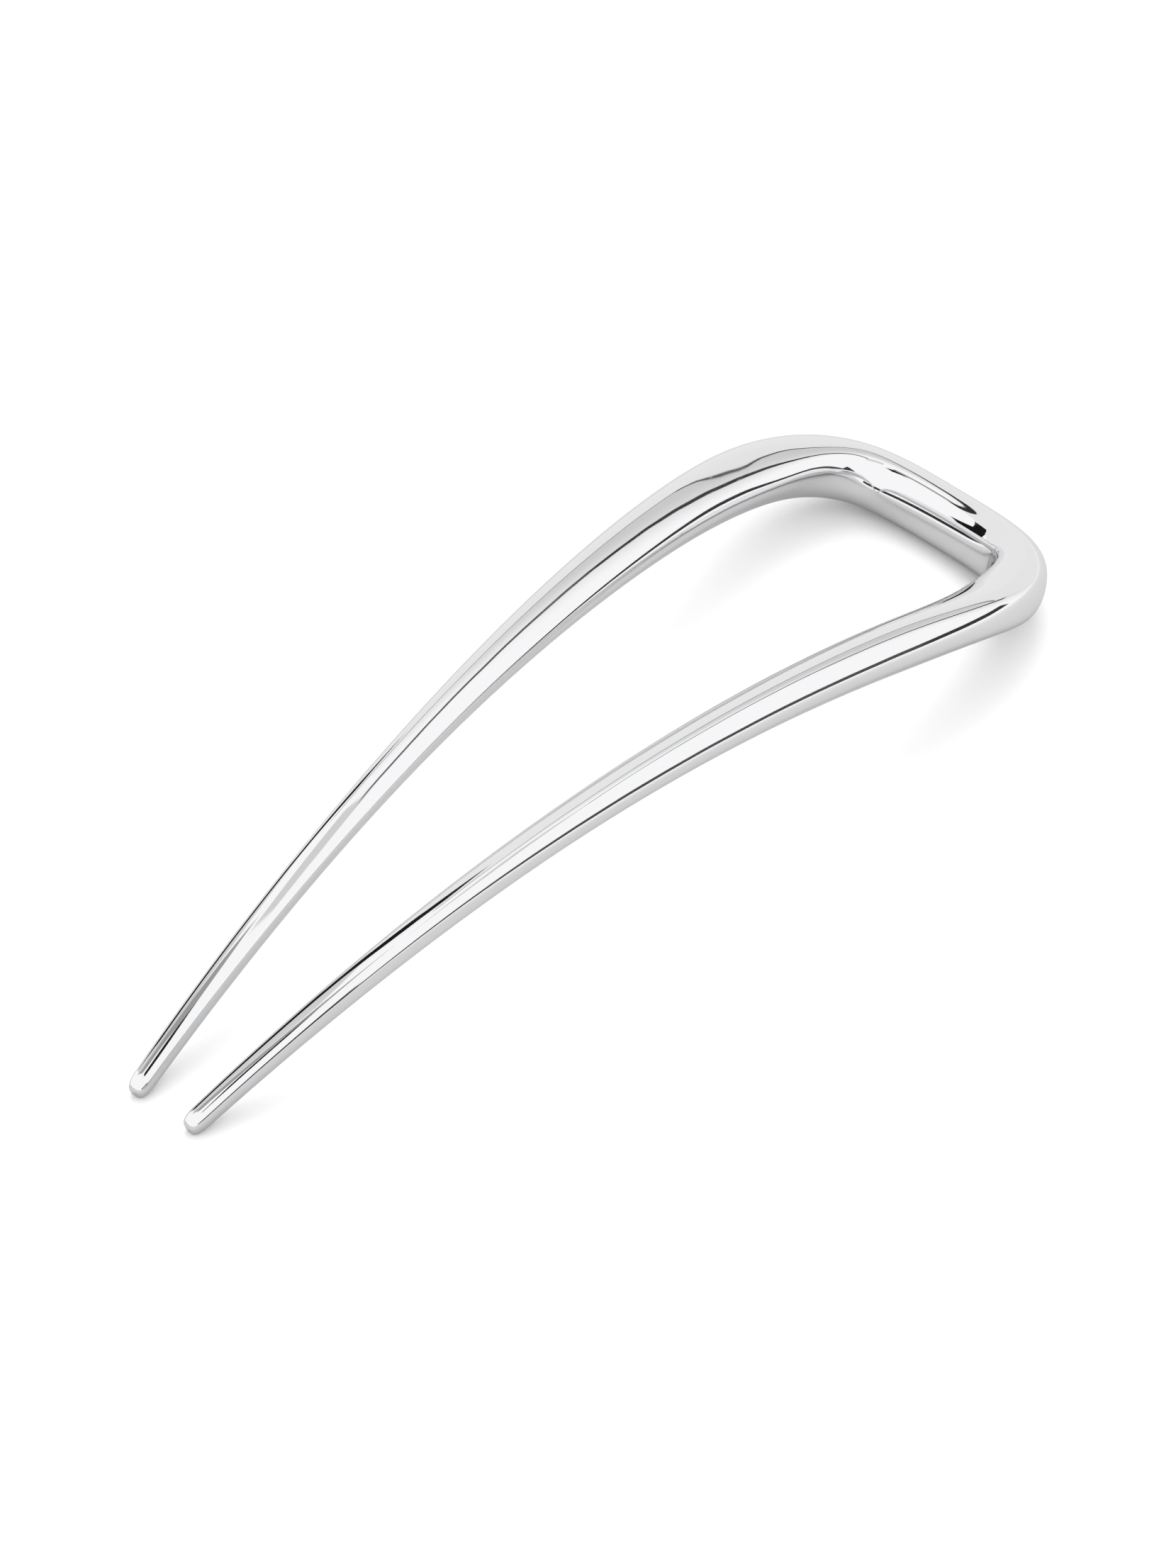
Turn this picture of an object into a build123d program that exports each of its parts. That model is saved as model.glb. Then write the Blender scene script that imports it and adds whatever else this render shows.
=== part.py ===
from build123d import *
import os
from math import atan2, cos, degrees, pi, radians, sin, tanh

# A U-shaped hair pin, cast and polished in one piece, in millimetres. It rests on its two tips and its crown.
# +X runs from the tips to the crown, +Y towards the left tine and +Z up.

# Centreline of one half, from the middle of the crown to a tip
half_length = 136.3
crown_reach = 9.4           # along the crown, from its middle to the middle of the corner
corner_turn = 39.0          # degrees that the corner itself turns
corner_softness = 4.3       # length over which it turns: more is rounder
tip_spread = 7.3          # between the centres of the two tips; the shoulders turn as far as this needs
shoulder_softness = 12.8
crown_arch_radius = 129.0   # of the arched side profile, at the crown
tip_arch_radius = 212.0     # and at the tips

# The limb's section at its named places: place along the half, width across, height, and the degrees that its
# upper face leans towards the gap
crown_middle = (0.0, 4.8, 6.8, 0.0)
corner = (16.0, 6.4, 6.4, 4.0)
shoulder = (26.0, 6.9, 5.4, 26.0)
upper_tine = (41.0, 6.3, 5.3, 34.0)
middle_tine = (86.0, 3.9, 3.6, 26.0)
tip = (half_length, 2.2, 2.3, 0.0)
crown_roundness = 2.4       # superellipse exponent: 2 is an ellipse, and more is squarer
tip_roundness = 2.8
tip_rounding = 0.6          # radius around the blunt end of a tip
tip_rounding_limit = 0.28   # the most it may be, as a share of the tip's smaller side

limb_joint = 28.0           # along the half, where the crown ends and a tine starts

# How closely the shape is sampled
walk_step = 0.1
section_gap = 4.0
outline_points = 16
settling_rounds = 4
turn_rounds = 40


def blend(column, place):
    """One column of the named sections at any place, on a smooth curve through them."""
    knots = [(row[0], row[column]) for row in (crown_middle, corner, shoulder, upper_tine, middle_tine, tip)]
    slopes = [0.0]
    for before, after in zip(knots, knots[2:] + knots[-1:]):
        slopes.append((after[1] - before[1]) / (after[0] - before[0]))
    i = max(k for k in range(len(knots) - 1) if knots[k][0] <= place)
    (start, first), (end, last) = knots[i], knots[i + 1]
    gap = end - start
    t = (place - start) / gap
    return (
        (2 * t**3 - 3 * t**2 + 1) * first
        + (t**3 - 2 * t**2 + t) * gap * slopes[i]
        + (3 * t**2 - 2 * t**3) * last
        + (t**3 - t**2) * gap * slopes[i + 1]
    )


def heading(place, shoulder_turn):
    """How far the plan has turned from the crown's own direction, in radians."""
    past = place - crown_reach
    corner_share = (tanh(past / corner_softness) + tanh(crown_reach / corner_softness)) / 2
    shoulder_share = tanh(max(past, 0.0) / shoulder_softness)
    return radians(corner_turn * corner_share + shoulder_turn * shoulder_share)


def walk_half(shoulder_turn):
    """Points along the centreline of the +Y half, each with its heading and its downward slope."""
    steps = round(half_length / walk_step)
    step = half_length / steps
    flattening = (1 / tip_arch_radius - 1 / crown_arch_radius) / (half_length - crown_reach)
    run, x, y, z = 0.0, 0.0, 0.0, 0.0
    line = []
    for i in range(steps + 1):
        turn = heading(i * step, shoulder_turn)
        slope = run / crown_arch_radius + flattening * run**2 / 2
        line.append((Vector(x, y, z), turn, slope))
        forward = sin(turn) * step
        run += forward
        x -= cos(slope) * forward
        y += cos(turn) * step
        z -= sin(slope) * forward
    return line


def settled_line():
    """The centreline whose shoulders turn just far enough to bring the tips to their spread."""
    least, most = 0.0, 90.0
    for _ in range(turn_rounds):
        shoulder_turn = (least + most) / 2
        line = walk_half(shoulder_turn)
        if line[-1][0].Y > tip_spread / 2:
            least = shoulder_turn
        else:
            most = shoulder_turn
    return line


def outline(place):
    """The limb's section as (across, up) points, with across positive towards the gap."""
    width, height, lean = blend(1, place), blend(2, place), radians(blend(3, place))
    power = 2 / (crown_roundness + (tip_roundness - crown_roundness) * place / half_length)
    points = []
    for i in range(outline_points):
        c, s = cos(2 * pi * i / outline_points), sin(2 * pi * i / outline_points)
        across = width / 2 * abs(c) ** power * (1 if c > 0 else -1)
        up = height / 2 * abs(s) ** power * (1 if s > 0 else -1)
        points.append((across * cos(lean) + up * sin(lean), up * cos(lean) - across * sin(lean)))
    return points


def rings():
    """The section outlines of the +Y half in space, from the middle of the crown to the tip."""
    line = settled_line()
    gaps = round(half_length / section_gap)
    result = []
    for i in range(gaps + 1):
        centre, turn, slope = line[round(i / gaps * (len(line) - 1))]
        inward = Vector(-cos(turn) * cos(slope), -sin(turn), -cos(turn) * sin(slope))
        upward = Vector(-sin(slope), 0, cos(slope))
        section = outline(half_length * i / gaps)
        result.append([centre + inward * across + upward * up for across, up in section])
    return result


def rest_angle(half):
    """Degrees about Y that bring the crown and the tips down onto one level."""
    reach = half[-1][0].X / 2
    angle = 0.0
    for _ in range(settling_rounds):
        points = [point.rotate(Axis.Y, angle) for ring in half for point in ring]
        low_crown = min((p for p in points if p.X > reach), key=lambda p: p.Z)
        low_tip = min((p for p in points if p.X < reach), key=lambda p: p.Z)
        angle += degrees(atan2(low_crown.Z - low_tip.Z, low_crown.X - low_tip.X))
    return angle


def limb(outlines):
    """A solid through section outlines."""
    return loft([make_face(Spline(*ring, periodic=True)) for ring in outlines])


half = rings()
angle = rest_angle(half)
half = [[point.rotate(Axis.Y, angle) for point in ring] for ring in half]
joint = round(limb_joint / section_gap)
crown_half = half[: joint + 1]
other_half = [[Vector(point.X, -point.Y, point.Z) for point in ring] for ring in crown_half[:0:-1]]

# The limbs share the section at the joint, so they meet face to face
crown = limb(other_half + crown_half)
left_tine = limb(half[joint:])
tip_end = left_tine.faces().sort_by(Axis.X)[0]
left_tine = fillet(tip_end.edges(), min(tip_rounding, tip_rounding_limit * min(tip[1], tip[2])))
right_tine = mirror(left_tine, about=Plane.XZ)

# The origin is the middle of the box's floor
box = Compound([crown, left_tine, right_tine]).bounding_box()
to_origin = Pos(-box.center().X, -box.center().Y, -box.min.Z)

os.makedirs("parts", exist_ok=True)
export_step(to_origin * crown, "parts/crown.step")
export_step(to_origin * left_tine, "parts/left_tine.step")
export_step(to_origin * right_tine, "parts/right_tine.step")
print("length, width and height:", box.size)
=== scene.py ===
from math import atan2, cos, radians, sin, tan, tanh

import bmesh
import bpy
from mathutils import Matrix, Vector


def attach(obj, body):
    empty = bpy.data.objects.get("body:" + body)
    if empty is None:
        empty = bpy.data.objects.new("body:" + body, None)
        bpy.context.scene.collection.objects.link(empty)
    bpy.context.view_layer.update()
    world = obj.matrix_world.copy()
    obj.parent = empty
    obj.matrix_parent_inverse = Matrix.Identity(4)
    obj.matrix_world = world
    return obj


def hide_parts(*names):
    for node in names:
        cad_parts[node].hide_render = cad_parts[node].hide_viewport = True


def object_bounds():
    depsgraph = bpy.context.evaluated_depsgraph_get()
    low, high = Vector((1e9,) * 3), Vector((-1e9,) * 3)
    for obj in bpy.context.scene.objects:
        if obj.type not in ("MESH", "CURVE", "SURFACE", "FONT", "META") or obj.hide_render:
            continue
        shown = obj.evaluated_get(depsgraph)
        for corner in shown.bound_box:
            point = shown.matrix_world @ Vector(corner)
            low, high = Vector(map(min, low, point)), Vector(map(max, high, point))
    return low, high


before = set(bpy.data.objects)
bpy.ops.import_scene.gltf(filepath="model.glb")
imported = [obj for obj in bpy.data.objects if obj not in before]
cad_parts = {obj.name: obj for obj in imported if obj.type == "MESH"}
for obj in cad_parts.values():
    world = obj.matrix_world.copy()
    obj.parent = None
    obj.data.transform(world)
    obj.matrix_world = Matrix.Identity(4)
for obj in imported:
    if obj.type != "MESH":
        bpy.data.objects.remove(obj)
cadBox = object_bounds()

# A polished U-shaped hair pin resting on its tips and its crown. +X runs from the tips to the crown.
# Lengths are in metres and angles in degrees.

pin = {
    "halfLength": 0.1363,         # along the centreline, from the middle of the crown to a tip
    "crownReach": 0.0094,         # from the middle of the crown to the middle of its corner
    "cornerTurn": 39.0,
    "cornerSoftness": 0.0043,
    "shoulderTurn": 58.3,
    "shoulderSoftness": 0.0128,
    "crownArchRadius": 0.129,
    "tipArchRadius": 0.212,
    # place along the half, width across, height, and how far the upper face leans towards the gap
    "sections": (
        (0.0000, 0.0048, 0.0068, 0.0),
        (0.0160, 0.0064, 0.0064, 4.0),
        (0.0260, 0.0069, 0.0054, 26.0),
        (0.0410, 0.0063, 0.0053, 34.0),
        (0.0860, 0.0039, 0.0036, 26.0),
        (0.1363, 0.0022, 0.0023, 0.0),
    ),
    "crownSquareness": 2.4,       # 2 is an ellipse, and more is squarer
    "tipSquareness": 2.8,
    "ringVertices": 8,
    "walkStep": 0.0001,           # between the points of the centreline
    "rings": 68,                  # along one half
    "tineRing": 14,               # the ring where the crown ends and a tine starts
    # the rings that round the blunt end off: how far back from the end, and their share of full size
    "tipRings": ((0.0017, 1.0), (0.0008, 0.93), (0.0002, 0.74), (0.0, 0.45)),
    "smoothing": 3,
    "mirrorMerge": 1e-6,          # vertices nearer than this are joined at the mirror plane
    "settlingRounds": 4,
    "clearance": 0.00002,         # kept between the pin and the sides of the CAD model's box
    "cutMark": 0.001,             # between the two marks that a cut is kept by
    "middleReach": 1e-7,          # vertices this near the middle plane belong to both sides
    "smoothAngle": 40,            # the edges round a cut are sharper than this and stay crisp
}


def blendSection(column, place):
    rows = pin["sections"]
    knots = [(row[0], row[column]) for row in rows]
    slopes = [0.0]
    for before, after in zip(knots, knots[2:] + knots[-1:]):
        slopes.append((after[1] - before[1]) / (after[0] - before[0]))
    i = max(k for k in range(len(knots) - 1) if knots[k][0] <= place)
    (start, first), (end, last) = knots[i], knots[i + 1]
    gap = end - start
    t = (place - start) / gap
    return (
        (2 * t**3 - 3 * t**2 + 1) * first
        + (t**3 - 2 * t**2 + t) * gap * slopes[i]
        + (3 * t**2 - 2 * t**3) * last
        + (t**3 - t**2) * gap * slopes[i + 1]
    )


def headingAt(place):
    past = place - pin["crownReach"]
    cornerShare = (tanh(past / pin["cornerSoftness"]) + tanh(pin["crownReach"] / pin["cornerSoftness"])) / 2
    shoulderShare = tanh(max(past, 0.0) / pin["shoulderSoftness"])
    return radians(pin["cornerTurn"] * cornerShare + pin["shoulderTurn"] * shoulderShare)


def walkCentreline():
    steps = round(pin["halfLength"] / pin["walkStep"])
    step = pin["halfLength"] / steps
    bendChange = 1 / pin["tipArchRadius"] - 1 / pin["crownArchRadius"]
    flattening = bendChange / (pin["halfLength"] - pin["crownReach"])
    run, x, y, z = 0.0, 0.0, 0.0, 0.0
    line = []
    for i in range(steps + 1):
        turn = headingAt(i * step)
        slope = run / pin["crownArchRadius"] + flattening * run**2 / 2
        line.append((Vector((x, y, z)), turn, slope))
        forward = sin(turn) * step
        run += forward
        x -= cos(slope) * forward
        y += cos(turn) * step
        z -= sin(slope) * forward
    return line


centreline = walkCentreline()


def pickOnly(piece):
    bpy.ops.object.select_all(action="DESELECT")
    piece.select_set(True)
    bpy.context.view_layer.objects.active = piece


def applyModifier(piece, kind, **settings):
    pickOnly(piece)
    modifier = piece.modifiers.new(kind.title(), kind)
    for name, value in settings.items():
        setattr(modifier, name, value)
    bpy.ops.object.modifier_apply(modifier=modifier.name)


def turnSelected(angle, axis, centre):
    # without a window the rotate operator turns the other way
    bpy.ops.transform.rotate(value=-angle, orient_axis=axis, center_override=centre)


def standRing(ring, centre, sense):
    # lean, turn in plan, then slope with the arch; a sense of -1 undoes the three
    moves = [(-ring["lean"], "Y"), (ring["turn"], "Z"), (-ring["slope"], "Y")]
    for angle, axis in moves[::sense]:
        turnSelected(sense * angle, axis, centre)


def pickWhere(test):
    mesh = bmesh.from_edit_mesh(bpy.context.object.data)
    mesh.verts.ensure_lookup_table()
    for vertex in mesh.verts:
        vertex.select = test(vertex)
    mesh.select_flush_mode()
    bmesh.update_edit_mesh(bpy.context.object.data)


def pickLastRing(everyOther=False):
    first = len(bmesh.from_edit_mesh(bpy.context.object.data).verts) - pin["ringVertices"]
    pickWhere(lambda vertex: vertex.index >= first and not (everyOther and vertex.index % 2 == 0))


def ringAt(place, shrink=1.0):
    centre, turn, slope = centreline[round(place / pin["halfLength"] * (len(centreline) - 1))]
    squareness = pin["crownSquareness"]
    squareness += (pin["tipSquareness"] - squareness) * place / pin["halfLength"]
    # an eight-sided ring draws in when it is smoothed, so it starts a little larger
    corner = 2 ** (-1 / squareness)
    cornerPull = (4 * corner - 1) / (4 - 2 * corner)
    growth = shrink * 3 / (2 + cornerPull)
    return {
        "centre": centre,
        "turn": turn,
        "slope": slope,
        "lean": radians(blendSection(3, place)),
        "halfWidth": blendSection(1, place) / 2 * growth,
        "halfHeight": blendSection(2, place) / 2 * growth,
        "cornerPull": cornerPull,
    }


def shapeRing(ring, last):
    # the ring stands upright across Y while it is resized, then takes its place along the limb
    across = ring["halfWidth"] / last["halfWidth"]
    upright = ring["halfHeight"] / last["halfHeight"]
    bpy.ops.transform.resize(value=(across, 1, upright), center_override=ring["centre"])
    pickLastRing(everyOther=True)
    pull = ring["cornerPull"] / last["cornerPull"]
    bpy.ops.transform.resize(value=(pull, 1, pull), center_override=ring["centre"])
    pickLastRing()
    standRing(ring, ring["centre"], 1)


def limbRings():
    places = [pin["halfLength"] * i / pin["rings"] for i in range(pin["rings"])]
    rings = [ringAt(place) for place in places]
    for setBack, shrink in pin["tipRings"]:
        rings.append(ringAt(pin["halfLength"] - setBack, shrink))
    return rings


def makeHalfLimb():
    rings = limbRings()
    first = rings[0]
    bpy.ops.object.select_all(action="DESELECT")
    bpy.ops.mesh.primitive_circle_add(
        vertices=pin["ringVertices"], radius=1, location=first["centre"], rotation=(radians(90), 0, 0)
    )
    limb = bpy.context.object
    bpy.ops.object.transform_apply(location=True, rotation=True, scale=True)
    bpy.ops.object.mode_set(mode="EDIT")
    bpy.context.tool_settings.mesh_select_mode = (True, False, False)
    pickLastRing()
    last = {"halfWidth": 1, "halfHeight": 1, "cornerPull": cos(radians(45))}
    shapeRing(first, last)
    last = first
    for ring in rings[1:]:
        step = ring["centre"] - last["centre"]
        bpy.ops.mesh.extrude_region_move(TRANSFORM_OT_translate={"value": step})
        standRing(last, ring["centre"], -1)
        shapeRing(ring, last)
        last = ring
    bpy.ops.mesh.edge_face_add()  # the blunt end
    bpy.ops.mesh.select_all(action="SELECT")
    bpy.ops.mesh.normals_make_consistent(inside=False)
    bpy.ops.object.mode_set(mode="OBJECT")
    return limb


def settle(piece, marks):
    # bring the crown and the tips down onto one level
    pickOnly(piece)
    for _ in range(pin["settlingRounds"]):
        corners = [vertex.co for vertex in piece.data.vertices]
        middle = (min(c.x for c in corners) + max(c.x for c in corners)) / 2
        lowCrown = min((c for c in corners if c.x > middle), key=lambda c: c.z)
        lowTip = min((c for c in corners if c.x < middle), key=lambda c: c.z)
        angle = atan2(lowCrown.z - lowTip.z, lowCrown.x - lowTip.x)
        tilt = Matrix.Rotation(angle, 4, "Y")
        piece.matrix_world = tilt
        marks = [tilt @ mark for mark in marks]
        bpy.ops.object.transform_apply(location=True, rotation=True, scale=True)
    return marks


def fitInBox(piece, lowest, highest, marks):
    # centred in the box and standing on its floor, a hair inside every side
    pickOnly(piece)
    corners = [vertex.co for vertex in piece.data.vertices]
    low = Vector(min(c[k] for c in corners) for k in range(3))
    high = Vector(max(c[k] for c in corners) for k in range(3))
    room = Vector(highest) - Vector(lowest) - Vector((2, 2, 2)) * pin["clearance"]
    ratio = Vector(min(1.0, room[k] / (high[k] - low[k])) for k in range(3))
    centre = (Vector(lowest) + Vector(highest)) / 2
    middle = Vector(ratio[k] * (low[k] + high[k]) / 2 for k in range(3))
    rise = lowest[2] + pin["clearance"] - ratio.z * low.z
    move = Matrix.Translation((centre.x - middle.x, centre.y - middle.y, rise)) @ Matrix.Diagonal((*ratio, 1))
    piece.matrix_world = move
    print("fit in box:", [round(r, 5) for r in ratio])
    bpy.ops.object.transform_apply(location=True, rotation=True, scale=True)
    return [move @ mark for mark in marks]


def cutAt(side, cut, keepCrown):
    # a cut straight across one limb, closed with a flat face
    pickWhere(lambda vertex: vertex.co.y * side > -pin["middleReach"])
    point = Vector((cut["point"].x, side * cut["point"].y, cut["point"].z))
    normal = Vector((cut["normal"].x, side * cut["normal"].y, cut["normal"].z))
    bpy.ops.mesh.bisect(
        plane_co=point, plane_no=normal, use_fill=True, clear_inner=not keepCrown, clear_outer=keepCrown
    )


def copyOf(piece, name):
    twin = piece.copy()
    twin.data = piece.data.copy()
    twin.name = name
    twin.data.name = name
    bpy.context.scene.collection.objects.link(twin)
    pickOnly(twin)
    return twin


def cutPieces(whole, cut):
    crown = copyOf(whole, "polished_crown")
    bpy.ops.object.mode_set(mode="EDIT")
    cutAt(1, cut, True)
    cutAt(-1, cut, True)
    bpy.ops.object.mode_set(mode="OBJECT")
    tines = []
    for side, name in ((1, "polished_left_tine"), (-1, "polished_right_tine")):
        tine = copyOf(whole, name)
        bpy.ops.object.mode_set(mode="EDIT")
        pickWhere(lambda vertex: vertex.co.y * side < -pin["middleReach"])
        bpy.ops.mesh.delete(type="VERT")
        cutAt(side, cut, False)
        bpy.ops.object.mode_set(mode="OBJECT")
        tines.append(tine)
    bpy.data.objects.remove(whole)
    return [crown, *tines]


def makePin():
    print("shaping one half of the pin")
    pinBody = makeHalfLimb()
    print("mirroring and smoothing the pin")
    applyModifier(pinBody, "MIRROR", use_axis=(False, True, False), merge_threshold=pin["mirrorMerge"])
    pickOnly(pinBody)
    bpy.ops.object.mode_set(mode="EDIT")
    bpy.ops.mesh.select_all(action="SELECT")
    bpy.ops.mesh.normals_make_consistent(inside=False)
    bpy.ops.object.mode_set(mode="OBJECT")
    applyModifier(pinBody, "SUBSURF", levels=pin["smoothing"], render_levels=pin["smoothing"])
    joint = ringAt(pin["halfLength"] * pin["tineRing"] / pin["rings"])
    along = Vector((-sin(joint["turn"]), cos(joint["turn"]), 0))
    along.rotate(Matrix.Rotation(-joint["slope"], 3, "Y"))
    # two marks carry the cut's place and direction along as the pin settles
    marks = [joint["centre"], joint["centre"] + along * pin["cutMark"]]
    marks = settle(pinBody, marks)
    marks = fitInBox(pinBody, cadBox[0], cadBox[1], marks)
    cut = {"point": marks[0], "normal": (marks[1] - marks[0]).normalized()}
    print("cutting the pin into crown and tines")
    pieces = cutPieces(pinBody, cut)
    for piece in pieces:
        pickOnly(piece)
        bpy.ops.object.shade_smooth_by_angle(angle=radians(pin["smoothAngle"]))
        print(piece.name, len(piece.data.polygons), "faces")
    return pieces


silverFinish = {
    "colour": (0.83, 0.83, 0.84),
    "roughness": (0.03, 0.07),        # where it is best and least polished
    "hazeSize": 90,                   # patches per metre
    "hazeRange": (0.3, 0.7),
    "ripple": 0.035,                  # unevenness left by hand polishing
    "rippleSize": 130,
    "rippleHeight": 0.001,
    "hairlines": 0.05,                # how much duller the fine scratches are
    "hairlineSize": 2600,
    "hairlineStretch": 0.08,          # along the pin, against 1 across it
    "hairlineRange": (0.62, 0.74),    # only the peaks of the pattern show
}


def polishedSilver():
    silver = bpy.data.materials.new("polishedSilver")
    silver.use_nodes = True
    nodes, links = silver.node_tree.nodes, silver.node_tree.links
    metal = nodes["Principled BSDF"]
    metal.inputs["Base Color"].default_value = (*silverFinish["colour"], 1)
    metal.inputs["Metallic"].default_value = 1
    place = nodes.new("ShaderNodeTexCoord")

    def addNoise(vector, size, detail):
        noise = nodes.new("ShaderNodeTexNoise")
        noise.inputs["Scale"].default_value = size
        noise.inputs["Detail"].default_value = detail
        links.new(vector, noise.inputs["Vector"])
        return noise.outputs["Fac"]

    def addRange(value, source, target):
        spread = nodes.new("ShaderNodeMapRange")
        spread.inputs["From Min"].default_value, spread.inputs["From Max"].default_value = source
        spread.inputs["To Min"].default_value, spread.inputs["To Max"].default_value = target
        links.new(value, spread.inputs["Value"])
        return spread.outputs["Result"]

    haze = addNoise(place.outputs["Object"], silverFinish["hazeSize"], 3)
    polish = addRange(haze, silverFinish["hazeRange"], silverFinish["roughness"])
    waves = nodes.new("ShaderNodeBump")
    waves.inputs["Strength"].default_value = silverFinish["ripple"]
    waves.inputs["Distance"].default_value = silverFinish["rippleHeight"]
    links.new(addNoise(place.outputs["Object"], silverFinish["rippleSize"], 1), waves.inputs["Height"])
    links.new(waves.outputs["Normal"], metal.inputs["Normal"])
    stretch = nodes.new("ShaderNodeMapping")
    stretch.inputs["Scale"].default_value = (silverFinish["hairlineStretch"], 1, 1)
    links.new(place.outputs["Object"], stretch.inputs["Vector"])
    scratches = addNoise(stretch.outputs["Vector"], silverFinish["hairlineSize"], 2)
    hairlines = addRange(scratches, silverFinish["hairlineRange"], (0, silverFinish["hairlines"]))
    worn = nodes.new("ShaderNodeMath")
    worn.operation = "ADD"
    links.new(polish, worn.inputs[0])
    links.new(hairlines, worn.inputs[1])
    links.new(worn.outputs["Value"], metal.inputs["Roughness"])
    return silver


# The studio: white air that lights the floor, one soft lamp from behind, and cloths and boards that only the
# metal sees. Azimuth 0 looks towards the crown and 90 to the left tine's side.
studio = {
    "air": 1.42,
    # The floor as the metal sees it is darker than as the eye sees it, and darkest near the pin: painted
    # shade round the pin in its reflections.
    "floorPaper": 0.82,               # as the eye sees it
    "floorInMetalPaintedShade": (0.46, 0.72),     # as the metal sees it, near the pin and far off
    # how far from the pin the painted shade fades out
    "paintedShadeReach": (0.05, 0.40),
    "lampPower": 2.2,
    "lampSize": 0.5,
    "lampDirection": (45, 58),
    "lampDistance": 0.8,
    "cloth": 1.11,                    # the bright cloth overhead and at the near side
    "shade": 0.70,                    # the cloth behind the crown, away from the lamp
    "shadeDirection": (24, 22),       # the middle of the shaded part, and how far it reaches
    "shadeReach": (0.62, 0.95),
    "clothRadius": 1.4,
    "seamDistance": 0.9,
    "floorWidth": 2.7,
}

# Boards by name: middle, width and height in metres, the way each faces, and brightness
boards = {
    "back_board": ((0.130, 0.088, 0.074), (0.246, 0.148), -90, 0.94),
    "back_board_top": ((0.130, 0.087, 0.154), (0.246, 0.013), -90, 0.03),
    "crown_board": ((0.320, 0.005, 0.074), (0.220, 0.148), -140.5, 0.92),
    "crown_board_top": ((0.319, 0.004, 0.1515), (0.220, 0.007), -140.5, 0.05),
}

# Dark and grey strips that paint lines and bands into the pin's reflections.
# Seams and shaded stretches in the cloth: azimuth and elevation of both ends, half width in degrees, and
# brightness
seams = {
    "near_seam": (-104, 4, -52, 5, 3.4, 0.08),
    "near_seam_end": (-54, 5, -28, 6, 3.2, 0.04),
    "crown_seam": (-14, 16, -16, 42, 1.6, 0.05),
    "high_seam": (-16, 42, -24, 72, 1.8, 0.12),
    "side_shade": (78, 8, 103, 56, 8.0, 0.74),
    "zenith_shade": (42, 80, -45, 72, 5.5, 0.74),
    "core_shade": (108, 44, 93, 78, 3.6, 0.38),
    "overhead_seam": (111, 72, 152, 76, 4.6, 0.01),
    "near_seam_tip": (-114, 3, -87, 11, 8.0, 0.06),
    "tip_seam": (122, 4, 176, 4, 2.0, 0.03),
    "tip_seam_end": (174, 4, 214, 4, 2.0, 0.03),
}

# Dark strips that paint dark lines into the pin's reflections.
# Strips near the pin: both ends, width and brightness
strips = {
    "low_strip": ((-0.058, 0.083, 0.041), (-0.012, 0.083, 0.044), 0.036, 0.01),
    "rising_strip": ((-0.020, 0.083, 0.040), (0.016, 0.083, 0.090), 0.026, 0.01),
}


def glowing(name, brightness):
    glow = bpy.data.materials.new(name)
    glow.use_nodes = True
    nodes, links = glow.node_tree.nodes, glow.node_tree.links
    nodes.remove(nodes["Principled BSDF"])
    light = nodes.new("ShaderNodeEmission")
    light.inputs["Color"].default_value = (1, 1, 1, 1)
    light.inputs["Strength"].default_value = brightness
    links.new(light.outputs["Emission"], nodes["Material Output"].inputs["Surface"])
    return glow


# The cards glow or stay dark for the metal alone: painted reflections, the bright bands and dark lines on the
# pin, that light nothing else.
def onlyInMetal(card):
    # seen in reflections, and nowhere else
    card.visible_camera = False
    card.visible_diffuse = False
    card.visible_shadow = False


def towards(azimuth, elevation):
    a, e = radians(azimuth), radians(elevation)
    return Vector((cos(a) * cos(e), sin(a) * cos(e), sin(e)))


def makeBoard(name, middle, size, facing, brightness):
    bpy.ops.mesh.primitive_plane_add(size=1, location=middle, rotation=(radians(90), 0, radians(facing + 90)))
    board = bpy.context.object
    board.name = name
    board.scale = (*size, 1)
    board.data.materials.append(glowing(name, brightness))
    onlyInMetal(board)


def makeStrip(name, start, end, width, brightness):
    # a strip from one point to another, turned to face the pin
    start, end = Vector(start), Vector(end)
    middle = (start + end) / 2
    run = (end - start).normalized()
    side = run.cross(middle).normalized()
    turn = Matrix((run, side, run.cross(side))).transposed().to_4x4()
    bpy.ops.mesh.primitive_plane_add(size=1)
    strip = bpy.context.object
    strip.name = name
    size = ((end - start).length, width, 1, 1)
    strip.matrix_world = Matrix.Translation(middle) @ turn @ Matrix.Diagonal(size)
    strip.data.materials.append(glowing(name, brightness))
    onlyInMetal(strip)


def makeSeam(name, azimuth1, elevation1, azimuth2, elevation2, halfWidth, brightness):
    distance = studio["seamDistance"]
    start, end = towards(azimuth1, elevation1) * distance, towards(azimuth2, elevation2) * distance
    makeStrip(name, start, end, 2 * distance * tan(radians(halfWidth)), brightness)


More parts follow.
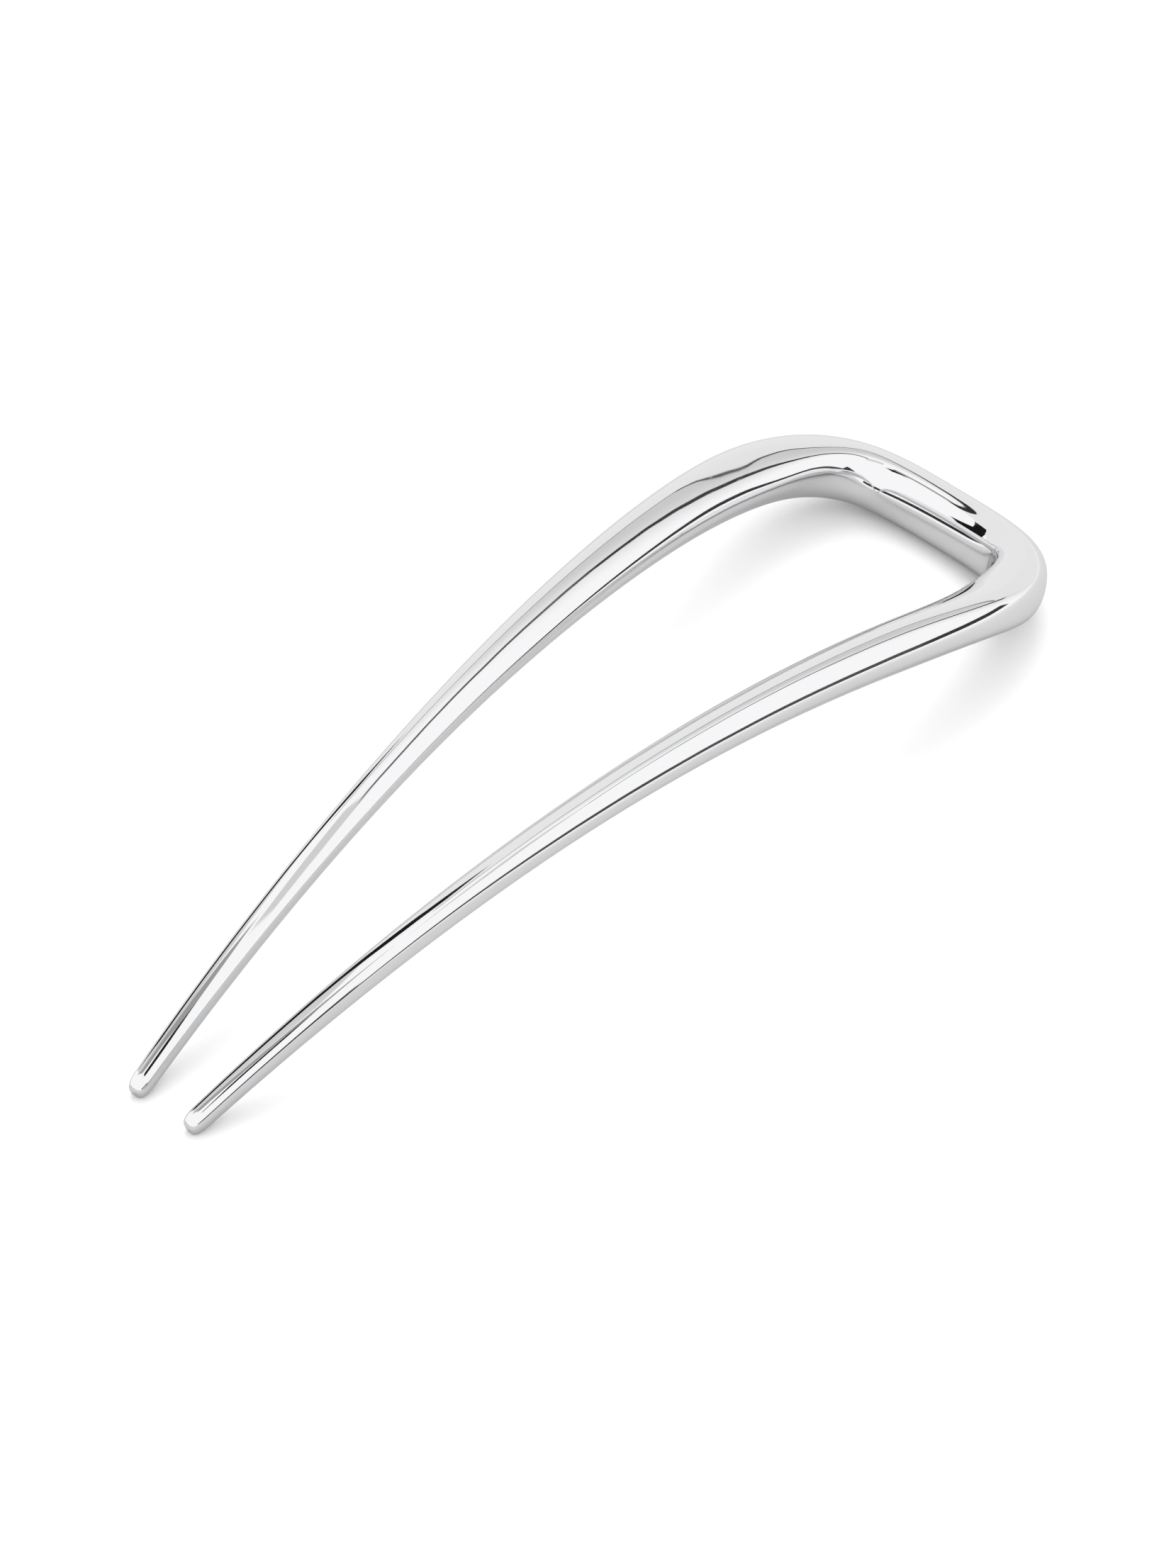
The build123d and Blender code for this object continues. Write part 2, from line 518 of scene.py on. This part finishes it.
def makeCloth():
    bpy.ops.mesh.primitive_uv_sphere_add(radius=studio["clothRadius"], segments=64, ring_count=32)
    cloth = bpy.context.object
    cloth.name = "tent_cloth"
    glow = glowing("tentCloth", studio["cloth"])
    nodes, links = glow.node_tree.nodes, glow.node_tree.links
    place = nodes.new("ShaderNodeTexCoord")
    direction = nodes.new("ShaderNodeVectorMath")
    direction.operation = "NORMALIZE"
    nearness = nodes.new("ShaderNodeVectorMath")
    nearness.operation = "DOT_PRODUCT"
    nearness.inputs[1].default_value = towards(*studio["shadeDirection"])
    fade = nodes.new("ShaderNodeMapRange")
    fade.interpolation_type = "SMOOTHSTEP"
    fade.inputs["From Min"].default_value, fade.inputs["From Max"].default_value = studio["shadeReach"]
    fade.inputs["To Min"].default_value = studio["cloth"]
    fade.inputs["To Max"].default_value = studio["shade"]
    links.new(place.outputs["Object"], direction.inputs[0])
    links.new(direction.outputs["Vector"], nearness.inputs[0])
    links.new(nearness.outputs["Value"], fade.inputs["Value"])
    links.new(fade.outputs["Result"], nodes["Emission"].inputs["Strength"])
    cloth.data.materials.append(glow)
    onlyInMetal(cloth)


def makeFloor():
    bpy.ops.mesh.primitive_plane_add(size=studio["floorWidth"])
    floor = bpy.context.object
    floor.name = "studio_floor"
    paper = bpy.data.materials.new("palePaper")
    paper.use_nodes = True
    nodes, links = paper.node_tree.nodes, paper.node_tree.links
    sheet = nodes["Principled BSDF"]
    sheet.inputs["Roughness"].default_value = 1
    sheet.inputs["Specular IOR Level"].default_value = 0
    # Glossy rays see a darker floor than the eye does: painted shade, darkest near the pin and fading out
    # farther off.
    path = nodes.new("ShaderNodeLightPath")
    tone = nodes.new("ShaderNodeMapRange")
    tone.inputs["To Min"].default_value = studio["floorPaper"]
    links.new(path.outputs["Is Glossy Ray"], tone.inputs["Value"])
    place = nodes.new("ShaderNodeTexCoord")
    reach = nodes.new("ShaderNodeVectorMath")
    reach.operation = "LENGTH"
    links.new(place.outputs["Object"], reach.inputs[0])
    paintedShadeFade = nodes.new("ShaderNodeMapRange")
    nearest, farthest = studio["paintedShadeReach"]
    paintedShadeFade.inputs["From Min"].default_value, paintedShadeFade.inputs["From Max"].default_value = nearest, farthest
    paintedShadeFade.inputs["To Min"].default_value, paintedShadeFade.inputs["To Max"].default_value = studio["floorInMetalPaintedShade"]
    links.new(reach.outputs["Value"], paintedShadeFade.inputs["Value"])
    links.new(paintedShadeFade.outputs["Result"], tone.inputs["To Max"])
    links.new(tone.outputs["Result"], sheet.inputs["Base Color"])
    floor.data.materials.append(paper)


def makeStudio():
    makeFloor()
    makeCloth()
    world = bpy.data.worlds.new("studioAir")
    bpy.context.scene.world = world
    world.use_nodes = True
    world.node_tree.nodes["Background"].inputs["Color"].default_value = (1, 1, 1, 1)
    world.node_tree.nodes["Background"].inputs["Strength"].default_value = studio["air"]
    direction = towards(*studio["lampDirection"])
    bpy.ops.object.light_add(type="AREA", location=direction * studio["lampDistance"])
    lamp = bpy.context.object
    lamp.rotation_euler = direction.to_track_quat("Z", "Y").to_euler()
    lamp.data.size = studio["lampSize"]
    lamp.data.energy = studio["lampPower"]
    lamp.visible_glossy = False
    for name, (middle, size, facing, brightness) in boards.items():
        makeBoard(name, middle, size, facing, brightness)
    for name, seam in seams.items():
        makeSeam(name, *seam)
    for name, strip in strips.items():
        makeStrip(name, *strip)
    bpy.context.scene.view_settings.view_transform = "Standard"


view = {
    "azimuth": -50.1,
    "elevation": 42.5,
    "roll": 2.7,
    "distance": 1.036,
    "lens": 230.5,
    "aim": (0.0, 0.0, 0.006),
    "shift": (0.0082, -0.0086),
}


def makeCamera():
    azimuth, elevation, roll = (radians(view[k]) for k in ("azimuth", "elevation", "roll"))
    back = Vector((sin(azimuth) * cos(elevation), -cos(azimuth) * cos(elevation), sin(elevation)))
    right = Vector((cos(azimuth), sin(azimuth), 0))
    up = back.cross(right)
    right, up = right * cos(roll) + up * sin(roll), up * cos(roll) - right * sin(roll)
    place = Vector(view["aim"]) + back * view["distance"]
    bpy.ops.object.camera_add()
    camera = bpy.context.object
    camera.matrix_world = Matrix.Translation(place) @ Matrix((right, up, back)).transposed().to_4x4()
    camera.data.lens = view["lens"]
    camera.data.shift_x, camera.data.shift_y = view["shift"]
    camera.data.clip_start = 0.01
    bpy.context.scene.camera = camera


print("polishing the silver")
silver = polishedSilver()
for piece, node in zip(makePin(), ("crown", "left_tine", "right_tine")):
    piece.data.materials.clear()
    piece.data.materials.append(silver)
    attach(piece, "root")
    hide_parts(node)
print("setting up the studio")
makeStudio()
print("placing the camera")
makeCamera()
